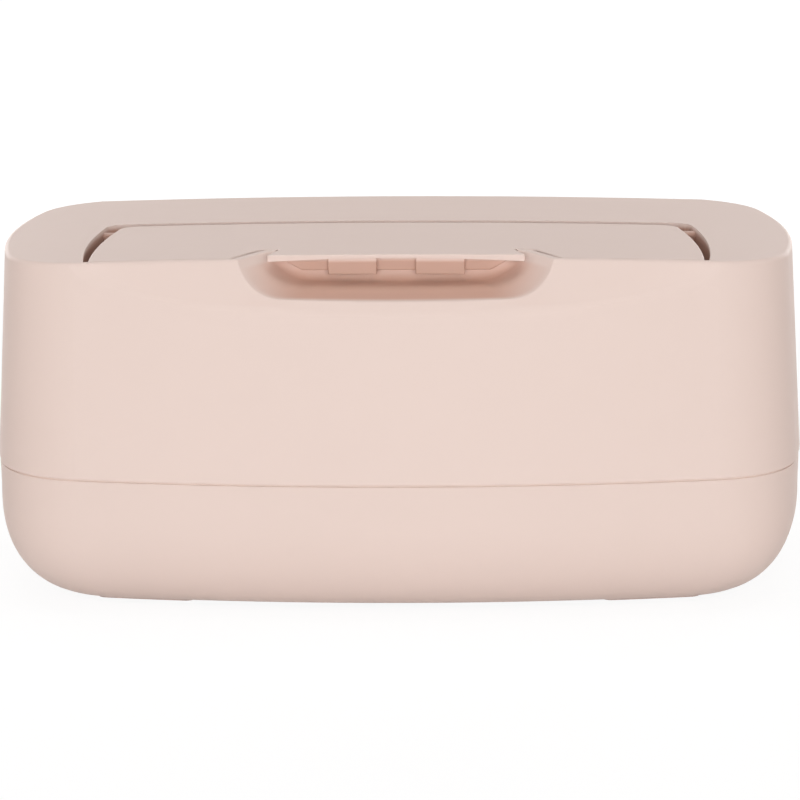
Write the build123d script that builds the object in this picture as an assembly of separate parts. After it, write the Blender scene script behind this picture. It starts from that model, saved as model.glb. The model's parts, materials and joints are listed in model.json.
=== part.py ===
# Wipes dispensing box: a moulded tray, a lift-off casing, a flush hinged lid and a loose weight plate.
# Millimetres. +X right, front towards -Y, +Z up, origin on the table under the middle of the box.
import math
import os
from build123d import *

os.makedirs("parts", exist_ok=True)

# Plan shape at the seam between tray and casing: eight tangent arcs.
length = 230.0
depth = 138.0
long_arc = 500.0
side_arc = 182.0
corner_arc = 28.6

# Heights above the table.
foot_height = 1.5
seam_height = 38.0
side_top = 96.5
crown_rise = 1.95

# Walls and clearances.
wall = 2.5
top_wall = 2.2
draft = 3.4
seam_gap = 0.4
seam_round = 0.3
seam_seal_inset = 0.7
edge_round = 1.2

# Slanted band along the top of the front and the back wall.
band_front_inset = 11.3
band_back_inset = 12.8
band_end_inset = 30.3
band_drop = 13.8
band_end_drop = 4.1
crease_round = 5.0
crease_cross = 3.0

# Opening for the lid and the sunk deck below it.
ring_width = 28.7
front_rim = 1.3
opening_corner = 5.5
opening_bow = 2.1
bow_back = 2.6
bow_middle = 26.0
rim_round = 1.0
well_depth = 9.9
well_wall = 1.8
deck = 2.0

# Lid, thumb tab and the lugs below it.
lid_thick = 1.8
side_gap = 2.9
front_gap = 0.4
lid_corner = 5.0
lid_taper = 3.9
lid_nose = 0.4
lid_widest = 42.0
lid_back = 3.6
lid_round = 0.4
tab_half = 35.0
tab_set_back = 4.5
tab_length = 7.7
tab_flare = 0.3
tab_hollow = 0.8
tab_round = 0.4
lug_round = 0.3
skirt_thick = 1.8
skirt_height = 4.2
skirt_inset = 0.4
catch_half = 29.9
catch_set_back = 5.3
catch_thick = 2.0
catch_hang = 5.25
lug_inner = 5.3
lug_outer = 18.6
lug_set_back = 3.4
lug_hang = 6.1

# Hinge.
hinge_y = 0.3
barrel_radius = 4.0
barrel_gap = 3.6
barrel_set_in = 9.5
neck_radius = 1.8
neck_set_in = 3.5
hinge_play = 0.6
boss_radius = 1.8
pin_radius = 1.0
pin_clearance = 0.05
pin_grip = 2.5

# Finger scoop.
scoop_top_half = 44.2
scoop_flare = 0.5
scoop_slope = 0.02
scoop_depth = 10.4
scoop_rise = 0.14
scoop_corner = 17.0
scoop_wall = 2.0
scoop_back_round = 4.0
scoop_rim = 1.5
scoop_round = 0.7
liner_gap = 0.35

# Mouth, its insert and the lid seal.
mouth_length = 70.0
insert_wall = 4.4
flange_wall = 2.0
flange_thick = 0.8
insert_low = 1.0
insert_gap = 0.6
seal_gap = 1.65
seal_wall = 4.4
seal_rib = 2.0
seal_height = 4.6
seal_lift = 0.3

# Tray underside: a rounded profile that ends in a flat base.
under_inset = 18.24
under_height = 23.68
under_power = 1.812
under_last = 0.25
tray_step = 0.3
tray_corner_fall = 0.45

# Tray rim that enters the casing.
rim_outer = 3.3
rim_thick = 1.8
rim_low = 32.0
rim_high = 44.0

# Rubber feet.
foot_end_inset = 30.5
foot_length = 28.2
foot_inset = 17.8
foot_deep = 11.0
foot_round = 3.0

# Weight plate with two steel bars.
plate_inset = 21.0
plate_wall = 1.8
plate_low = 5.0
plate_cover = 1.8
slot_length = 76.0
slot_width = 18.0
bar_slot_gap = 7.0
bar_edge_gap = 11.0
bar_thick = 3.0
bar_play = 0.2
frame_rib = 1.2

# Sizes that follow from the ones above.
top = side_top + crown_rise
clear = 10.0
crown_arc = (length / 2 - draft) ** 2 / (2 * crown_rise)
deck_top = top - well_depth
hinge_z = top - barrel_radius
lid_under = top - lid_thick
scoop_low = top - scoop_depth
band_front = depth / 2 - band_front_inset
band_back = depth / 2 - band_back_inset
band_end = length / 2 - band_end_inset
opening_front = band_front - front_rim
opening_half = length / 2 - ring_width
opening_back = hinge_y + barrel_radius + barrel_gap
lid_half = opening_half - side_gap
lid_front = opening_front - front_gap
tab_front = lid_front - tab_set_back
scoop_back = tab_front - tab_length
tab_root = scoop_back - scoop_rim - front_gap
catch_front = tab_front - catch_set_back
lug_front = tab_front - lug_set_back
catch_low = top - catch_hang
lug_low = top - lug_hang
barrel_half = lid_half - barrel_set_in
neck_end = lid_half - neck_set_in
boss_start = neck_end + hinge_play
pin_start = barrel_half - pin_grip
pin_end = opening_half + well_wall / 2
seal_front = scoop_back - scoop_wall - seal_gap
seal_rear = barrel_radius - hinge_y + seal_gap
seal_width = seal_front - seal_rear
mouth_y = -(seal_front + seal_rear) / 2
mouth_width = seal_width - 2 * (seal_wall + insert_wall + flange_wall) - 2 * insert_gap
seal_length = mouth_length + 2 * (seal_wall + insert_wall + flange_wall) + 2 * insert_gap + 6
foot_outer = length / 2 - foot_end_inset
foot_inner = foot_outer - foot_length
bar_start = slot_length / 2 + bar_slot_gap
bar_end = length / 2 - plate_inset - bar_edge_gap
bar_width = depth - 2 * plate_inset - 3 * bar_edge_gap + 3
shoulder = seam_height - seam_gap / 2
casing_low = seam_height + seam_gap / 2
tray_floor = foot_height + wall


def crown_at(x):
    return top - x * x / (2 * crown_arc)


def corner_data(inset, corner):
    # Centre of a corner arc that touches a long arc and a side arc from the inside.
    r_long = long_arc - inset
    r_side = side_arc - inset
    cy = depth / 2 - inset - r_long
    cx = length / 2 - inset - r_side
    span = math.hypot(cx, cy)
    p = r_long - corner
    q = r_side - corner
    along = (p * p - q * q + span * span) / (2 * span)
    across = math.sqrt(p * p - along * along)
    ux, uy = cx / span, -cy / span
    return r_long, r_side, cx, cy, along * ux + across * uy, cy + along * uy - across * ux


def outline(inset, z, corner=None):
    # Closed wire of the plan shape moved inwards by the inset.
    if corner is None:
        corner = corner_arc - inset
    r_long, r_side, cx, cy, kx, ky = corner_data(inset, corner)
    a = (Vector(kx, ky) - Vector(0, cy)).normalized()
    b = (Vector(kx, ky) - Vector(cx, 0)).normalized()
    t1 = Vector(0, cy) + a * r_long
    t2 = Vector(cx, 0) + b * r_side
    tm = Vector(kx, ky) + (a + b).normalized() * corner
    half_x, half_y = length / 2 - inset, depth / 2 - inset
    ring = [(-t1.X, -t1.Y), (0, -half_y), (t1.X, -t1.Y), (tm.X, -tm.Y), (t2.X, -t2.Y), (half_x, 0)]
    ring += [(t2.X, t2.Y), (tm.X, tm.Y), (t1.X, t1.Y), (0, half_y), (-t1.X, t1.Y), (-tm.X, tm.Y)]
    ring += [(-t2.X, t2.Y), (-half_x, 0), (-t2.X, -t2.Y), (-tm.X, -tm.Y)]
    pts = [Vector(x, y, z) for x, y in ring]
    pts.append(pts[0])
    return Wire([Edge.make_three_point_arc(*pts[i:i + 3]) for i in range(0, 16, 2)])


def wall_y(x, z):
    # Distance of the casing's long wall from the middle plane.
    inset = draft * (z - casing_low) / (side_top - casing_low)
    corner = corner_arc - inset
    r_long, r_side, cx, cy, kx, ky = corner_data(inset, corner)
    touch = kx * r_long / (r_long - corner)
    if abs(x) <= touch:
        return cy + math.sqrt(r_long ** 2 - x * x)
    return ky + math.sqrt(max(corner ** 2 - (abs(x) - kx) ** 2, 0))


def slab(inset, low, high, corner=None):
    # Straight prism of the plan shape.
    return extrude(Face(outline(inset, low, corner)), high - low, dir=(0, 0, 1))


def band(inset_out, z_low, z_high, inset_in):
    return slab(inset_out, z_low, z_high) - slab(inset_in, z_low, z_high)


def under_crown(drop):
    # Everything below the crowned top surface lowered by the drop.
    x = length * 0.6
    y = -depth * 0.65
    a = Vector(-x, y, crown_at(x) - drop)
    m = Vector(0, y, top - drop)
    b = Vector(x, y, crown_at(x) - drop)
    c, d = Vector(x, y, -5), Vector(-x, y, -5)
    edges = [Edge.make_three_point_arc(a, m, b), Edge.make_line(b, c), Edge.make_line(c, d)]
    return extrude(Face(Wire(edges + [Edge.make_line(d, a)])), -2 * y, dir=(0, 1, 0))


def band_section(x, edge_y, drop, side):
    # Cutter section at one x: straight down the band, then a round foot that runs out through the wall.
    z_top = crown_at(x)
    z_low = z_top - drop
    reach = wall_y(min(abs(x), band_end), z_low)
    slope = (reach - edge_y) / drop
    lean = math.atan(slope)
    steep = math.atan(draft / (side_top - casing_low))
    last = steep + math.radians(crease_cross)
    back = crease_round * math.tan((lean - steep) / 2)
    start = (reach - back * math.sin(lean), z_low + back * math.cos(lean))
    foot = []
    for angle in (lean, (lean + last) / 2, last):
        across = crease_round * (math.cos(angle) - math.cos(lean))
        down = crease_round * (math.sin(lean) - math.sin(angle))
        foot.append((start[0] + across, start[1] - down))
    out = (foot[2][0] + 3 * math.sin(last), foot[2][1] - 3 * math.cos(last))
    a, b, c, d, e, f, g = [Vector(x, side * y, z) for y, z in (
        (edge_y - 6 * slope, z_top + 6), *foot, out, (depth * 0.65, out[1]), (depth * 0.65, z_top + 6))]
    edges = [Edge.make_line(a, b), Edge.make_three_point_arc(b, c, d), Edge.make_line(d, e)]
    return Wire(edges + [Edge.make_line(e, f), Edge.make_line(f, g), Edge.make_line(g, a)])


def band_tool(edge_y, side):
    # Cutter for a slanted band: straight along the top, meeting the bulged wall in a soft arc.
    wires = []
    for share in (-1.15, -1, -0.82, -0.6, -0.3, 0, 0.3, 0.6, 0.82, 1, 1.15):
        fall = min(abs(share), 1.04)
        drop = band_drop - (band_drop - band_end_drop) * fall ** 3
        wires.append(band_section(share * band_end, edge_y, drop, side))
    return Solid.make_loft(wires, False)


def stadium(long, wide, low, high, y=mouth_y):
    face = Plane.XY.offset(low) * Pos(0, y) * SlotOverall(long, wide)
    return extrude(face, high - low, dir=(0, 0, 1))


def bar_x(x1, x2, radius, y=hinge_y, z=hinge_z):
    return Pos((x1 + x2) / 2, y, z) * Rot(0, 90, 0) * Cylinder(radius, abs(x2 - x1))


def box(x1, x2, y1, y2, z1, z2):
    return Pos((x1 + x2) / 2, (y1 + y2) / 2, (z1 + z2) / 2) * Box(abs(x2 - x1), abs(y2 - y1), abs(z2 - z1))


def opening_face(grow):
    # The D-shaped opening in the top, straight in front and rounded behind.
    f, h, b = opening_front + grow, opening_half + grow, opening_back + grow
    front_x, back_x = h - opening_bow, h - bow_back
    bow = [(-back_x, b), (-h, -bow_middle), (-front_x, -f)]
    left = Edge.make_three_point_arc(*[Vector(x, y) for x, y in bow])
    right = Edge.make_three_point_arc(*[Vector(-x, y) for x, y in reversed(bow)])
    front = Edge.make_line(Vector(-front_x, -f), Vector(front_x, -f))
    back = Edge.make_line(Vector(back_x, b), Vector(-back_x, b))
    face = Face(Wire([left, front, right, back]))
    return face.fillet_2d(opening_corner + grow, [v for v in face.vertices() if v.Y > 0])


def opening(grow, low, high):
    return extrude(Pos(0, 0, low) * opening_face(grow), high - low, dir=(0, 0, 1))


def scoop_wire(y, grow):
    # Section of the finger scoop in a plane across the box; it narrows inwards.
    open_by = scoop_flare * (abs(y) - band_front)
    low_z = scoop_low - scoop_rise * (abs(y) - band_front - 4.3) - grow
    wide_z = top + 1.3 * clear
    top_x = scoop_top_half + open_by + grow * 1.3 + scoop_slope * (wide_z - top)
    low_x = top_x - scoop_slope * (wide_z - low_z)
    a, b = Vector(-low_x, y, low_z + 0.9), Vector(low_x, y, low_z + 0.9)
    arc = Edge.make_three_point_arc(a, Vector(0, y, low_z), b)
    right = Edge.make_line(b, Vector(top_x, y, wide_z))
    over = Edge.make_line(Vector(top_x, y, wide_z), Vector(-top_x, y, wide_z))
    left = Edge.make_line(Vector(-top_x, y, wide_z), a)
    face = Face(Wire([arc, right, over, left]))
    return face.fillet_2d(scoop_corner + grow, [v for v in face.vertices() if v.Z < wide_z - 1]).outer_wire()


def scoop_solid(grow):
    back = -(scoop_back - grow)
    body = Solid.make_loft([scoop_wire(-depth / 2 - 3, grow), scoop_wire(back, grow)], True)
    rear = [e for e in body.edges() if abs(e.center().Y - back) < 0.01 and e.center().Z < top]
    return body.fillet(scoop_back_round + grow, rear)


def lid_outline(front_cut):
    # Plan of the lid; the front is cut back for the scoop except for the thumb tab.
    rear = hinge_y + lid_back
    side = [(lid_half - lid_taper, rear), (lid_half, -lid_widest), (lid_half - lid_nose, -lid_front)]
    right = Edge.make_three_point_arc(*[Vector(x, y) for x, y in side])
    left = Edge.make_three_point_arc(*[Vector(-x, y) for x, y in reversed(side)])
    path = [side[-1]]
    if front_cut:
        beside = scoop_top_half + 0.8 * scoop_rim + front_gap
        edge_x = beside - scoop_flare * (band_front - lid_front)
        root_x = beside - scoop_flare * (band_front - tab_root)
        path += [(edge_x, -lid_front), (root_x, -tab_root)] + tab_side(0)
    whole = path + [(-x, y) for x, y in reversed(path)]
    edges = [Edge.make_line(Vector(*p), Vector(*q)) for p, q in zip(whole, whole[1:])]
    edges = [right] + edges + [left, Edge.make_line(left @ 1, right @ 0)]
    face = Face(Wire(edges))
    face = face.fillet_2d(lid_corner, [v for v in face.vertices() if v.Y > 0])
    if front_cut:
        face = face.fillet_2d(scoop_back_round, [v for v in face.vertices() if abs(abs(v.X) - root_x) < 0.01])
        face = face.fillet_2d(tab_round, [v for v in face.vertices() if abs(v.X) < tab_half + 0.1])
    return face


def tab_side(grow):
    # The tab's side edge, from its root to its front corner.
    root_half = tab_half - tab_flare * (tab_front - tab_root)
    return [(root_half + grow, -tab_root), (tab_half + grow, -tab_front)]


def tab_zone():
    # Room that the tab needs where it passes over the rim of the scoop.
    (x1, y1), (x2, y2) = tab_side(front_gap)
    spots = [(x1, y1 + 1), (x1, y1), (x2, y2), (x2, y2 - 9)]
    spots += [(-x, y) for x, y in reversed(spots)]
    face = Face(Wire.make_polygon([Vector(x, y, deck_top) for x, y in spots], close=True))
    return extrude(face, 2 * clear, dir=(0, 0, 1))


def under_sections(grow):
    # Inset and height along the tray's wall, moved inwards by the wall thickness where asked.
    spots = [(tray_step, shoulder), (tray_step + 0.03, 33.0), (tray_step + 0.06, 28.0)]
    base = foot_height - under_height * (1 - (1 - under_last ** under_power) ** (1 / under_power))
    for u in (1.0, 0.95, 0.87, 0.76, 0.63, 0.48, 0.35, under_last):
        v = (1 - u ** under_power) ** (1 / under_power)
        inset = tray_step + 0.08 + under_inset * (1 - u)
        height = base + under_height * (1 - v)
        nx = u ** (under_power - 1)
        nz = v ** (under_power - 1)
        size = math.hypot(nx / under_inset, nz / under_height)
        spots.append((inset, height, nx / under_inset / size, nz / under_height / size))
    out = []
    for s in spots:
        nx, nz = s[2:] if len(s) > 2 else (1.0, 0.0)
        out.append((s[0] + grow * nx, s[1] + grow * nz))
    return out


def tray_body(grow, high):
    wires = []
    for inset, z in [(tray_step + grow, high)] + under_sections(grow)[1:]:
        wires.append(outline(inset, z, corner_arc - tray_corner_fall * inset))
    return Solid.make_loft(wires, False)


def make_tray():
    body = tray_body(0.0, shoulder) - tray_body(wall, shoulder + 5)
    body += band(tray_step + 1.0, rim_low, shoulder, rim_outer + rim_thick)
    body = fillet(body.faces().sort_by(Axis.Z)[-1].outer_wire().edges(), seam_round)
    return body + band(rim_outer, shoulder - 1, rim_high, rim_outer + rim_thick)


def make_foot(side_x, side_y):
    # Pad that follows the tray's long edge and ends in a straight line towards the middle.
    middle = wall_y((foot_inner + foot_outer) / 2, casing_low) - foot_inset
    x1, x2 = sorted((side_x * foot_inner, side_x * foot_outer))
    y1, y2 = sorted((side_y * (middle - foot_deep), side_y * depth / 2))
    pad = slab(foot_inset, 0.0, foot_height) & box(x1, x2, y1, y2, 0.0, foot_height)
    pad = fillet(pad.edges().filter_by(Axis.Z), foot_round)
    lower = pad.faces().sort_by(Axis.Z)[0].edges()
    return fillet(lower, 0.4)


def casing_shell():
    high = top + 3
    top_inset = draft * (high - casing_low) / (side_top - casing_low)
    outer = Solid.make_loft([outline(0, casing_low), outline(top_inset, high)], True)
    outer = outer & under_crown(0)
    front, back = band_tool(band_front, -1), band_tool(band_back, 1)
    outer = outer - front - back
    roof = outer.faces().sort_by(Axis.Z)[-1]
    outer = fillet(roof.outer_wire().edges(), edge_round)
    outer = fillet(outer.faces().sort_by(Axis.Z)[0].outer_wire().edges(), seam_round)
    inner = Solid.make_loft([outline(wall, casing_low - 1), outline(top_inset + wall, high)], True)
    inner = inner & under_crown(top_wall)
    inner = inner - Pos(0, wall, 0) * front - Pos(0, -wall, 0) * back
    return outer, inner


def shared_edges(shape, first, second):
    # Edges of the shape whose middle lies on the skins of both other shapes.
    out = []
    for e in shape.edges():
        m = e.position_at(0.5)
        v = Vertex(m.X, m.Y, m.Z)
        gaps = [min(f.distance_to(v) for f in other.faces()) for other in (first, second)]
        if max(gaps) < 0.001:
            out.append(e)
    return out


def make_casing():
    outer, inner = casing_shell()
    scoop = scoop_solid(0)
    long, wide = mouth_length + 2 * insert_wall, mouth_width + 2 * insert_wall
    hole = stadium(long, wide, deck_top - clear, deck_top + clear)
    block = outer - scoop
    block = fillet(shared_edges(block, outer, scoop), scoop_round)
    well = (opening(well_wall, deck_top - deck, top + 2) & block) - hole
    liner = scoop_solid(scoop_wall) & block & under_crown(lid_thick + liner_gap)
    liner = liner & box(-length / 3, length / 3, -depth, 0, deck_top - 2 * clear, top)
    room = opening(0, deck_top, top + clear)
    rim = scoop_solid(scoop_rim) - tab_zone()
    shell = block - inner - (room - rim)
    rear = [e for e in rim_edges(shell) if abs(e.center().X) > scoop_top_half + 6 or e.center().Y > 0]
    rear = [e for e in rear if e.center().Y > -opening_front + 0.5]
    shell = fillet(rear, rim_round)
    shell = shell + (well - room) + liner
    for s in (-1, 1):
        boss = bar_x(s * boss_start, s * (opening_half + 1), boss_radius)
        shell = shell + boss
        shell = shell - bar_x(s * (boss_start - 1), s * (pin_end + 0.6), pin_radius)
    return shell


def rim_edges(shell):
    # The edges where the opening's walls meet the crowned top.
    out = []
    for e in shell.edges():
        c = e.center()
        inside = abs(c.X) < opening_half + 0.5 and -opening_front - 0.2 < c.Y < opening_back + 0.2
        if inside and c.Z > crown_at(c.X) - 0.6:
            out.append(e)
    return out


def thumb_hollow():
    # Shallow arch under the tab's front edge.
    half = tab_half - 1
    low = crown_at(half) - lid_thick
    arc = Edge.make_three_point_arc(Vector(-half, 0, low), Vector(0, 0, lid_under + tab_hollow), Vector(half, 0, low))
    path = [Vector(half, 0, low), Vector(half, 0, low - 2), Vector(-half, 0, low - 2), Vector(-half, 0, low)]
    lines = [Edge.make_line(p, q) for p, q in zip(path, path[1:])]
    return Pos(0, -tab_root, 0) * extrude(Face(Wire([arc] + lines)), tab_front - tab_root + 1, dir=(0, -1, 0))


def make_spindle():
    # Hinge barrel whose radius follows the crown.
    edge = crown_at(barrel_half)
    a, b = Vector(barrel_half, hinge_y, edge), Vector(-barrel_half, hinge_y, edge)
    c, d = Vector(-barrel_half, hinge_y, hinge_z), Vector(barrel_half, hinge_y, hinge_z)
    curve = Edge.make_three_point_arc(a, Vector(0, hinge_y, top), b)
    lines = [Edge.make_line(c, d), Edge.make_line(d, a), curve, Edge.make_line(b, c)]
    spindle = revolve(Face(Wire(lines)), Axis((0, hinge_y, hinge_z), (1, 0, 0)), 360)
    for s in (-1, 1):
        spindle = spindle + bar_x(s * (barrel_half - 1), s * neck_end, neck_radius)
    return spindle


def make_skirt():
    simple = lid_outline(False)
    ring = offset(simple, -skirt_inset) - offset(simple, -skirt_inset - skirt_thick)
    skirt = extrude(Pos(0, 0, lid_under - skirt_height) * ring, skirt_height + 1.0, dir=(0, 0, 1))
    gap_x = scoop_top_half + 3.0
    low, high = deck_top, top + clear
    skirt = (skirt & under_crown(lid_thick * 0.5)) - box(-gap_x, gap_x, -depth, -scoop_back + 2, low, high)
    return skirt - box(-length, length, hinge_y - barrel_radius, depth, low, high)


def make_catch():
    # Strip with slanted ends under the tab, and the two lugs in front of it.
    low_x = catch_half - 4.3
    edge_z = catch_low + 2.4
    spots = [(-catch_half, top - 0.5), (-catch_half, edge_z), (-low_x, catch_low), (low_x, catch_low)]
    spots += [(catch_half, edge_z), (catch_half, top - 0.5)]
    profile = Face(Wire.make_polygon([Vector(x, -catch_front, z) for x, z in spots], close=True))
    strip = extrude(profile, catch_thick, dir=(0, 1, 0))
    strip = fillet(strip.faces().sort_by(Axis.Y)[0].edges(), lug_round)
    for s in (-1, 1):
        lug = box(s * lug_inner, s * lug_outer, -lug_front, -catch_front + 0.5, lug_low, top - 0.5)
        strip = strip + fillet(lug.faces().sort_by(Axis.Y)[0].edges(), lug_round)
    return strip


def make_lid():
    plate = extrude(Pos(0, 0, deck_top) * lid_outline(True), 2 * clear, dir=(0, 0, 1))
    plate = plate & (under_crown(0) - under_crown(lid_thick))
    plate = plate - thumb_hollow()
    plate = fillet(plate.faces().sort_by(Axis.Z)[-1].outer_wire().edges(), lid_round)
    lid = plate + make_spindle() + make_skirt() + make_catch()
    cut = seal_wall - seal_rib
    rib = stadium(seal_length - cut, seal_width - cut, deck_top + 3, lid_under + 0.3)
    rib = rib - stadium(seal_length - cut - 2 * seal_rib, seal_width - cut - 2 * seal_rib, deck_top, top + clear)
    lid = lid + (rib & under_crown(lid_thick * 0.5))
    for s in (-1, 1):
        lid = lid - bar_x(s * (pin_start - 0.5), s * (neck_end + 1), pin_radius + pin_clearance)
    return lid


def make_lid_seal():
    low = deck_top + seal_lift
    ring = stadium(seal_length, seal_width, low, low + seal_height)
    ring = ring - stadium(seal_length - 2 * seal_wall, seal_width - 2 * seal_wall, low - 1, low + 9)
    cut = seal_wall - seal_rib
    groove = stadium(seal_length - cut, seal_width - cut, deck_top + 3, low + 9)
    groove = groove - stadium(seal_length - cut - 2 * seal_rib, seal_width - cut - 2 * seal_rib, low, low + 9)
    return ring - groove


def make_insert():
    long = mouth_length + 2 * insert_wall
    wide = mouth_width + 2 * insert_wall
    low = deck_top - deck
    body = stadium(long, wide, low - insert_low, deck_top + flange_thick)
    upper = stadium(long + 2 * flange_wall, wide + 2 * flange_wall, deck_top, deck_top + flange_thick)
    lower = stadium(long + flange_wall, wide + flange_wall, low - insert_low, low)
    body = body + upper + lower
    return body - stadium(mouth_length, mouth_width, low - 3, deck_top + 3)


def make_tray_seal():
    return band(seam_seal_inset, shoulder, casing_low, rim_outer - 0.1)


def make_pin(side):
    return bar_x(side * pin_start, side * pin_end, pin_radius)


def make_plate_base():
    low, high = tray_floor, tray_floor + plate_low
    body = slab(plate_inset, low, high) - slab(plate_inset + plate_wall, low + plate_wall, high)
    body = body + stadium(slot_length + 3, slot_width + 3, low, high, 0)
    for s in (-1, 1):
        x1, x2 = s * bar_start, s * bar_end
        y, rib, play = bar_width / 2, bar_play + frame_rib, bar_play
        frame = box(x1 - s * rib, x2 + s * rib, -y - rib, y + rib, low + 1, low + plate_wall + 1.6)
        frame = frame - box(x1 - s * play, x2 + s * play, -y - play, y + play, low, high)
        body = body + (frame & slab(plate_inset + 0.5, low, high))
    body = body - stadium(slot_length, slot_width, low - 1, high + 1, 0)
    edge = body.faces().sort_by(Axis.Z)[0].outer_wire().edges()
    return fillet(edge, 1.0)


def make_plate_cover():
    low = tray_floor + plate_low
    high = low + plate_cover
    body = slab(plate_inset, low, high)
    body = body + band(plate_inset + plate_wall + 0.15, low - 1.2, low, plate_inset + 2 * plate_wall)
    body = body - stadium(slot_length, slot_width, low - 3, high + 1, 0)
    edge = body.faces().sort_by(Axis.Z)[-1].edges()
    return fillet(edge, 0.8)


def make_bar(side):
    low = tray_floor + plate_wall
    x1, x2 = side * bar_start, side * bar_end
    block = box(x1, x2, -bar_width / 2, bar_width / 2, low, low + bar_thick)
    return fillet(block.edges().filter_by(Axis.Z), 2.0)


def save(shape, name, label, colour):
    solids = shape.solids()
    item = max(solids, key=lambda s: s.volume)
    spare = sum(s.volume for s in solids) - item.volume
    item.label = label
    item.color = Color(*colour)
    export_step(item, f"parts/{name}.step")
    print(name, "solids", len(solids), "volume", round(item.volume), "spare", round(spare, 3))


pink = (0.86, 0.74, 0.70)
silicone = (0.88, 0.80, 0.77)
steel = (0.6, 0.6, 0.62)
rubber = (0.72, 0.60, 0.56)

save(make_tray(), "base_tray", "tray", pink)
save(make_tray_seal(), "tray_seal", "tray seal", silicone)
for sx, sy, name in ((-1, -1, "front_left"), (1, -1, "front_right"), (-1, 1, "back_left"), (1, 1, "back_right")):
    save(make_foot(sx, sy), f"foot_{name}", f"foot {name}", rubber)
save(make_casing(), "upper_casing", "upper casing", pink)
save(make_insert(), "mouth_insert", "mouth insert", silicone)
save(make_pin(-1), "hinge_pin_left", "left hinge pin", steel)
save(make_pin(1), "hinge_pin_right", "right hinge pin", steel)
save(make_lid(), "lid_cover", "lid", pink)
save(make_lid_seal(), "lid_seal", "lid seal", silicone)
save(make_plate_base(), "weight_plate_base", "weight plate base", pink)
save(make_plate_cover(), "weight_plate_cover", "weight plate cover", pink)
save(make_bar(-1), "weight_bar_left", "left weight bar", steel)
save(make_bar(1), "weight_bar_right", "right weight bar", steel)
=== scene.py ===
import json
import math
import bpy
from mathutils import Matrix, Vector


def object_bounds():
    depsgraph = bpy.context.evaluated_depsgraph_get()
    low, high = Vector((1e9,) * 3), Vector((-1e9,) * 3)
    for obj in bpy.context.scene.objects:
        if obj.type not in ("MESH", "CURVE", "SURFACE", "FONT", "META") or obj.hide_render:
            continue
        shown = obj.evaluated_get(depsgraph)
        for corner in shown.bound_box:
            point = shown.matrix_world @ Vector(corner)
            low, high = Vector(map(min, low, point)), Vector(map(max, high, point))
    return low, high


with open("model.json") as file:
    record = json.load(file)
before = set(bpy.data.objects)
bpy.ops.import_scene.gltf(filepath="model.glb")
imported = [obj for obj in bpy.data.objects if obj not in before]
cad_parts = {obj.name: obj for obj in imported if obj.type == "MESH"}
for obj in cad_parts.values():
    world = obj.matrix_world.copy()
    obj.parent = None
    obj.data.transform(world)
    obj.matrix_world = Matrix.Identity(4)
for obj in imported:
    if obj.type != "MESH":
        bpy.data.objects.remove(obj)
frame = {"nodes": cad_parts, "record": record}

# Wipes box in soft pink plastic, seen slightly from above and lit like a catalogue photograph.
# Places and sizes are in metres, angles in degrees.
cadBox = [list(map(float, corner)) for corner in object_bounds()]
print("frame loaded", cadBox)


# A node with its settings: an input socket by its name, anything else as a property.
def newNode(tree, kind, **settings):
    node = tree.nodes.new(kind)
    for name, value in settings.items():
        if name in node.inputs:
            node.inputs[name].default_value = value
        else:
            setattr(node, name, value)
    return node


# A Math node, where each value is a number or a socket.
def calc(tree, kind, *values):
    node = newNode(tree, "ShaderNodeMath", operation=kind)
    for socket, value in zip(node.inputs, values):
        if isinstance(value, (int, float)):
            socket.default_value = value
        else:
            tree.links.new(value, socket)
    return node.outputs[0]


# A smooth step: the first level at the first end of the source, the second level at the second.
def softStep(tree, source, ends, levels=(0.0, 1.0)):
    step = newNode(tree, "ShaderNodeMapRange", interpolation_type="SMOOTHSTEP")
    for name, value in zip(("From Min", "From Max", "To Min", "To Max"), (*ends, *levels)):
        step.inputs[name].default_value = value
    tree.links.new(source, step.inputs["Value"])
    return step.outputs["Result"]


# Camera, worked out from the outline of the box and the height of the seam.
cameraSettings = {
    "lens": 135.616,  # mm, as is the sensor
    "sensor": 36,
    "nearest": 0.01,
    "furthest": 50,
    "place": (0.013746, -0.855897, 0.233218),
    "tilt": 77.7202,
    "turn": 0.9161,
    "roll": -0.3203,
}


def makeCamera(s):
    data = bpy.data.cameras.new("camera")
    data.lens = s["lens"]
    data.sensor_width = s["sensor"]
    data.clip_start = s["nearest"]
    data.clip_end = s["furthest"]
    cam = bpy.data.objects.new("camera", data)
    bpy.context.scene.collection.objects.link(cam)
    cam.location = s["place"]
    turn = Matrix.Rotation(math.radians(s["turn"]), 4, "Z")
    tilt = Matrix.Rotation(math.radians(s["tilt"]), 4, "X")
    roll = Matrix.Rotation(math.radians(s["roll"]), 4, "Z")
    cam.rotation_euler = (turn @ tilt @ roll).to_euler()
    bpy.context.scene.camera = cam


makeCamera(cameraSettings)
print("camera made")


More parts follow.
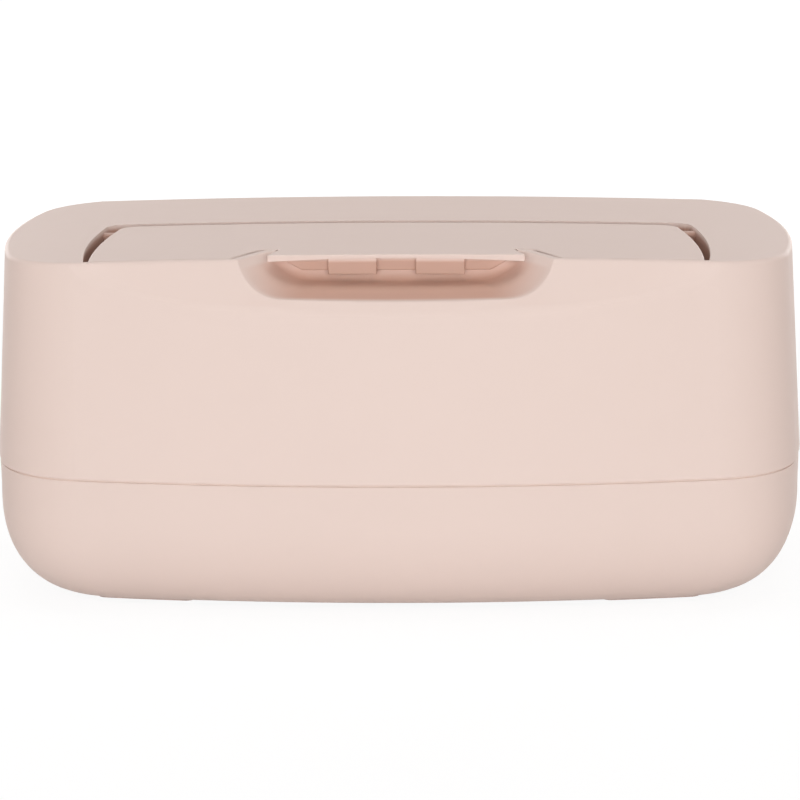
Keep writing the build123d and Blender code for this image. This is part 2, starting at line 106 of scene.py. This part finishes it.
# Studio: a white world and floor, and large soft lamps in front, above, at the sides and behind.
studioSettings = {
    "worldLevel": 0.05,  # how much light the white world gives
    "floorReach": 12.0,
    "floorGlow": 0.9,  # glow of the seen floor at the box, which rises to 1 over the fade
    "floorFade": (0.3, 0.9),
    "floorShade": 0.14,  # how strongly lamps and shadow show on the seen floor
    "floorBounce": 0.8,  # how much light the floor throws back on the box
    "lampAim": (0, 0, 0.05),
    "lamps": {
        "front light": {"place": (0, -1.9, 0.35), "size": (1.8, 0.6), "power": 24.8},
        "top light": {"place": (0, 0.2, 1.7), "size": (1.6, 1.2), "power": 13.0},
        "left light": {"place": (-1.7, -0.4, 0.7), "size": (1.0, 1.0), "power": 5.9,
                       "colour": (1.0, 0.87, 0.81)},
        "right light": {"place": (1.7, -0.4, 0.7), "size": (1.0, 1.0), "power": 5.9,
                        "colour": (1.0, 0.87, 0.81)},
        "back left light": {"place": (-0.9, 1.6, 0.4), "size": (0.8, 0.8), "power": 8.6},
        "back right light": {"place": (0.9, 1.6, 0.4), "size": (0.8, 0.8), "power": 8.6},
    },
}


def grey(level):
    return (level, level, level, 1)


# One shader is seen, by the camera and in gloss and glass, and the other one lights the scene.
def seenAndLighting(tree, seen, lighting, out):
    path = newNode(tree, "ShaderNodeLightPath")
    direct = calc(tree, "MAXIMUM", path.outputs["Is Camera Ray"], path.outputs["Is Glossy Ray"])
    either = calc(tree, "MAXIMUM", direct, path.outputs["Is Transmission Ray"])
    mix = newNode(tree, "ShaderNodeMixShader")
    link = tree.links.new
    link(either, mix.inputs["Fac"])
    link(lighting.outputs[0], mix.inputs[1])
    link(seen.outputs[0], mix.inputs[2])
    link(mix.outputs[0], out.inputs["Surface"])


def makeWorld(s):
    world = bpy.data.worlds.new("studio")
    bpy.context.scene.world = world
    world.use_nodes = True
    tree = world.node_tree
    tree.nodes.clear()
    seen = newNode(tree, "ShaderNodeBackground", Color=grey(1), Strength=1.0)
    lighting = newNode(tree, "ShaderNodeBackground", Color=grey(1), Strength=s["worldLevel"])
    seenAndLighting(tree, seen, lighting, newNode(tree, "ShaderNodeOutputWorld"))


def makeFloor(s):
    mesh = bpy.data.meshes.new("floor")
    r = s["floorReach"]
    mesh.from_pydata([(-r, -r, 0), (r, -r, 0), (r, r, 0), (-r, r, 0)], [], [(0, 1, 2, 3)])
    floor = bpy.data.objects.new("floor", mesh)
    bpy.context.scene.collection.objects.link(floor)
    mat = bpy.data.materials.new("paper floor")
    mat.use_nodes = True
    tree = mat.node_tree
    tree.nodes.clear()
    coord = newNode(tree, "ShaderNodeTexCoord")
    away = newNode(tree, "ShaderNodeVectorMath", operation="LENGTH")
    glow = newNode(tree, "ShaderNodeEmission", Color=grey(1))
    paper = newNode(tree, "ShaderNodeBsdfDiffuse", Color=grey(s["floorShade"]))
    seen = newNode(tree, "ShaderNodeAddShader")
    bounce = newNode(tree, "ShaderNodeBsdfDiffuse", Color=grey(s["floorBounce"]))
    link = tree.links.new
    link(coord.outputs["Object"], away.inputs[0])  # the paper whitens away from the box
    whitening = softStep(tree, away.outputs["Value"], s["floorFade"], (s["floorGlow"], 1.0))
    link(whitening, glow.inputs["Strength"])
    link(glow.outputs[0], seen.inputs[0])
    link(paper.outputs[0], seen.inputs[1])
    seenAndLighting(tree, seen, bounce, newNode(tree, "ShaderNodeOutputMaterial"))
    mesh.materials.append(mat)


def makeLamp(name, s, aim):
    data = bpy.data.lights.new(name, "AREA")
    data.shape = "RECTANGLE"
    data.size, data.size_y = s["size"]
    data.energy = s["power"]
    data.color = s.get("colour", (1, 1, 1))
    lamp = bpy.data.objects.new(name, data)
    bpy.context.scene.collection.objects.link(lamp)
    lamp.location = s["place"]
    lamp.rotation_euler = (Vector(aim) - Vector(s["place"])).to_track_quat("-Z", "Y").to_euler()


bpy.context.scene.view_settings.view_transform = "Standard"
makeWorld(studioSettings)
makeFloor(studioSettings)
for name, lamp in studioSettings["lamps"].items():
    makeLamp(name, lamp, studioSettings["lampAim"])
print("studio made")


# Shared effect: fine moulded grain with a faint drift of shade and gloss over the surface.
grainSettings = {
    "driftScale": 14.0,
    "glossScale": 160.0,
    "softDetail": 2.0,
    "grainDetail": 3.0,
    "grainRoughness": 0.6,
    "noiseMiddle": 0.5,
    "inputs": {"Base": "Color", "Drift": "Float", "Grain Size": "Float", "Gloss": "Float",
               "Gloss Drift": "Float"},
    "outputs": {"Color": "Color", "Roughness": "Float", "Height": "Float"},
}


def makeGrainGroup(s):
    group = bpy.data.node_groups.new("moulded grain", "ShaderNodeTree")
    for side, sockets in (("INPUT", s["inputs"]), ("OUTPUT", s["outputs"])):
        for name, kind in sockets.items():
            group.interface.new_socket(name, in_out=side, socket_type="NodeSocket" + kind)
    given = newNode(group, "NodeGroupInput")
    out = newNode(group, "NodeGroupOutput")
    coord = newNode(group, "ShaderNodeTexCoord")
    wide = newNode(group, "ShaderNodeTexNoise", Scale=s["driftScale"], Detail=s["softDetail"])
    fine = newNode(group, "ShaderNodeTexNoise", Detail=s["grainDetail"], Roughness=s["grainRoughness"])
    patch = newNode(group, "ShaderNodeTexNoise", Scale=s["glossScale"], Detail=s["softDetail"])
    link = group.links.new
    for noise in (wide, fine, patch):
        link(coord.outputs["Object"], noise.inputs["Vector"])
    link(given.outputs["Grain Size"], fine.inputs["Scale"])
    # shade = 1 + drift * (wide noise - middle)
    offWide = calc(group, "SUBTRACT", wide.outputs["Fac"], s["noiseMiddle"])
    factor = calc(group, "MULTIPLY_ADD", offWide, given.outputs["Drift"], 1.0)
    shade = newNode(group, "ShaderNodeVectorMath", operation="SCALE")
    link(given.outputs["Base"], shade.inputs[0])
    link(factor, shade.inputs["Scale"])
    link(shade.outputs[0], out.inputs["Color"])
    # roughness = gloss + gloss drift * (patch noise - middle)
    offPatch = calc(group, "SUBTRACT", patch.outputs["Fac"], s["noiseMiddle"])
    rough = calc(group, "MULTIPLY_ADD", offPatch, given.outputs["Gloss Drift"], given.outputs["Gloss"])
    link(rough, out.inputs["Roughness"])
    link(fine.outputs["Fac"], out.inputs["Height"])
    return group


grainGroup = makeGrainGroup(grainSettings)


# Shared effect: masks of the hollows where shade is painted into the colour, as a darker, deeper pink.
# Scoop is 1 in the finger scoop, Far is 1 in its back part and Gap is 1 in the curved gaps beside the
# lid.
# Each pair gives the places where a mask starts from 0 and where it is full.
paintedShadeSettings = {
    "crownTop": cadBox[1][2],
    "crownFall": 0.1566,  # the top falls by this times x squared
    "bandEdge": -0.0577,
    "bandSlope": 0.62,
    "scoop": [("behind", (0.0003, 0.0030)), ("across", (0.0460, 0.0230)), ("y", (-0.0420, -0.0460)),
              ("under", (0.0018, 0.0030)), ("z", (0.0864, 0.0870))],
    "far": [("behind", (0.0050, 0.0120))],
    "gap": [("across", (0.0785, 0.0815)), ("across", (0.0890, 0.0882)), ("y", (-0.0574, -0.0566)),
            ("y", (0.0090, 0.0080)), ("under", (0.0004, 0.0018)), ("z", (0.0875, 0.0885))],
}


def makePaintedShadeGroup(s):
    group = bpy.data.node_groups.new("painted recess shade", "ShaderNodeTree")
    for name in ("Scoop", "Gap", "Far"):
        group.interface.new_socket(name, in_out="OUTPUT", socket_type="NodeSocketFloat")
    out = newNode(group, "NodeGroupOutput")
    coord = newNode(group, "ShaderNodeTexCoord")
    split = newNode(group, "ShaderNodeSeparateXYZ")
    link = group.links.new
    link(coord.outputs["Object"], split.inputs[0])
    x, y, z = (split.outputs[axis] for axis in "XYZ")
    # under = top - fall * x * x - z, the depth under the crowned top
    crown = calc(group, "MULTIPLY_ADD", calc(group, "MULTIPLY", x, x), -s["crownFall"], s["crownTop"])
    under = calc(group, "SUBTRACT", crown, z)
    # behind = y - edge + slope * (top - z), the depth behind the slanted band
    edgeAtFloor = s["bandSlope"] * s["crownTop"] - s["bandEdge"]
    lean = calc(group, "MULTIPLY_ADD", z, -s["bandSlope"], edgeAtFloor)
    behind = calc(group, "ADD", lean, y)
    across = calc(group, "ABSOLUTE", x)
    places = {"y": y, "z": z, "across": across, "under": under, "behind": behind}

    # product of the soft steps
    def mask(steps, total=1.0):
        for place, ends in steps:
            total = calc(group, "MULTIPLY", total, softStep(group, places[place], ends))
        return total

    scoop = mask(s["scoop"])
    link(scoop, out.inputs["Scoop"])
    link(mask(s["gap"]), out.inputs["Gap"])
    link(mask(s["far"], scoop), out.inputs["Far"])
    return group


# masks for the painted shade in the scoop, its far part and the gaps beside the lid
paintedShadeGroup = makePaintedShadeGroup(paintedShadeSettings)


# One colour laid over another by a mask, where a colour is three numbers or a socket.
def mixColours(tree, mask, base, over):
    mix = newNode(tree, "ShaderNodeMix", data_type="RGBA")
    tree.links.new(mask, mix.inputs["Factor"])
    for socket, colour in ((mix.inputs[6], base), (mix.inputs[7], over)):  # colours A and B
        if isinstance(colour, tuple):
            socket.default_value = (*colour, 1)
        else:
            tree.links.new(colour, socket)
    return mix.outputs[2]  # the mixed colour


def makeFinish(name, s):
    mat = bpy.data.materials.new(name)
    mat.use_nodes = True
    tree = mat.node_tree
    link = tree.links.new
    shader = tree.nodes["Principled BSDF"]
    shader.inputs["Specular IOR Level"].default_value = s["specular"]
    shader.inputs["Metallic"].default_value = s.get("metal", 0.0)
    grain = newNode(tree, "ShaderNodeGroup", node_tree=grainGroup)
    grain.inputs["Base"].default_value = (*s["colour"], 1)
    grain.inputs["Drift"].default_value = s["drift"]
    grain.inputs["Grain Size"].default_value = s["grainSize"]
    grain.inputs["Gloss"].default_value = s["roughness"]
    grain.inputs["Gloss Drift"].default_value = s["glossDrift"]
    # painted shade: the scoop, its far part and the gaps beside the lid take darker, deeper pinks by the
    # masks
    if "scoopShadeColour" in s:
        shadeMasks = newNode(tree, "ShaderNodeGroup", node_tree=paintedShadeGroup)
        paintedScoopShade = mixColours(tree, shadeMasks.outputs["Far"], s["scoopShadeColour"], s["farShadeColour"])
        shadedSkin = mixColours(tree, shadeMasks.outputs["Scoop"], s["colour"], paintedScoopShade)
        link(mixColours(tree, shadeMasks.outputs["Gap"], shadedSkin, s["gapShadeColour"]), grain.inputs["Base"])
    bump = newNode(tree, "ShaderNodeBump", Strength=s["bump"], Distance=s["grainDepth"])
    link(grain.outputs["Height"], bump.inputs["Height"])
    link(bump.outputs["Normal"], shader.inputs["Normal"])
    link(grain.outputs["Color"], shader.inputs["Base Color"])
    link(grain.outputs["Roughness"], shader.inputs["Roughness"])
    return mat


pinkPlastic = {"colour": (0.782, 0.637, 0.578), "drift": 0.03, "grainSize": 2600.0, "roughness": 0.58,
               "glossDrift": 0.08, "bump": 0.25, "grainDepth": 0.00004, "specular": 0.42}
finishes = {
    # the scoop, far and gap colours of the casing are painted shade in its hollows
    "moulding": {**pinkPlastic, "scoopShadeColour": (0.63, 0.385, 0.30), "farShadeColour": (0.74, 0.50, 0.40),
                 "gapShadeColour": (0.57, 0.355, 0.28)},
    # the lid's strip and lugs in the scoop take painted shade, a darker, deeper pink
    "lid_moulding_painted_shade": {**pinkPlastic, "scoopShadeColour": (0.57, 0.37, 0.295), "farShadeColour": (0.56, 0.36, 0.285),
                     "gapShadeColour": pinkPlastic["colour"]},
    "silicone": {"colour": (0.76, 0.62, 0.56), "drift": 0.04, "grainSize": 1500.0, "roughness": 0.62,
                 "glossDrift": 0.1, "bump": 0.2, "grainDepth": 0.00004, "specular": 0.3},
    "foot_rubber": {"colour": (0.62, 0.47, 0.42), "drift": 0.05, "grainSize": 1800.0, "roughness": 0.75,
                    "glossDrift": 0.1, "bump": 0.4, "grainDepth": 0.00006, "specular": 0.2},
    "pin_steel": {"colour": (0.62, 0.62, 0.63), "drift": 0.05, "grainSize": 2200.0, "roughness": 0.28,
                  "glossDrift": 0.1, "bump": 0.15, "grainDepth": 0.00003, "specular": 0.5, "metal": 1.0},
    "bar_steel": {"colour": (0.42, 0.42, 0.44), "drift": 0.12, "grainSize": 900.0, "roughness": 0.45,
                  "glossDrift": 0.2, "bump": 0.3, "grainDepth": 0.00006, "specular": 0.5, "metal": 1.0},
}
materials = {name: makeFinish(name.replace("_", " "), s) for name, s in finishes.items()}

finishOf = {part["node"]: part["material_slot"] for part in frame["record"]["subparts"]}
finishOf["lid_cover"] = "lid_moulding_painted_shade"  # its strip and lugs hang in the scoop, with painted shade of their own as darker, deeper pinks
for name, node in frame["nodes"].items():
    node.data.materials.clear()
    node.data.materials.append(materials[finishOf[name]])
print("materials made")
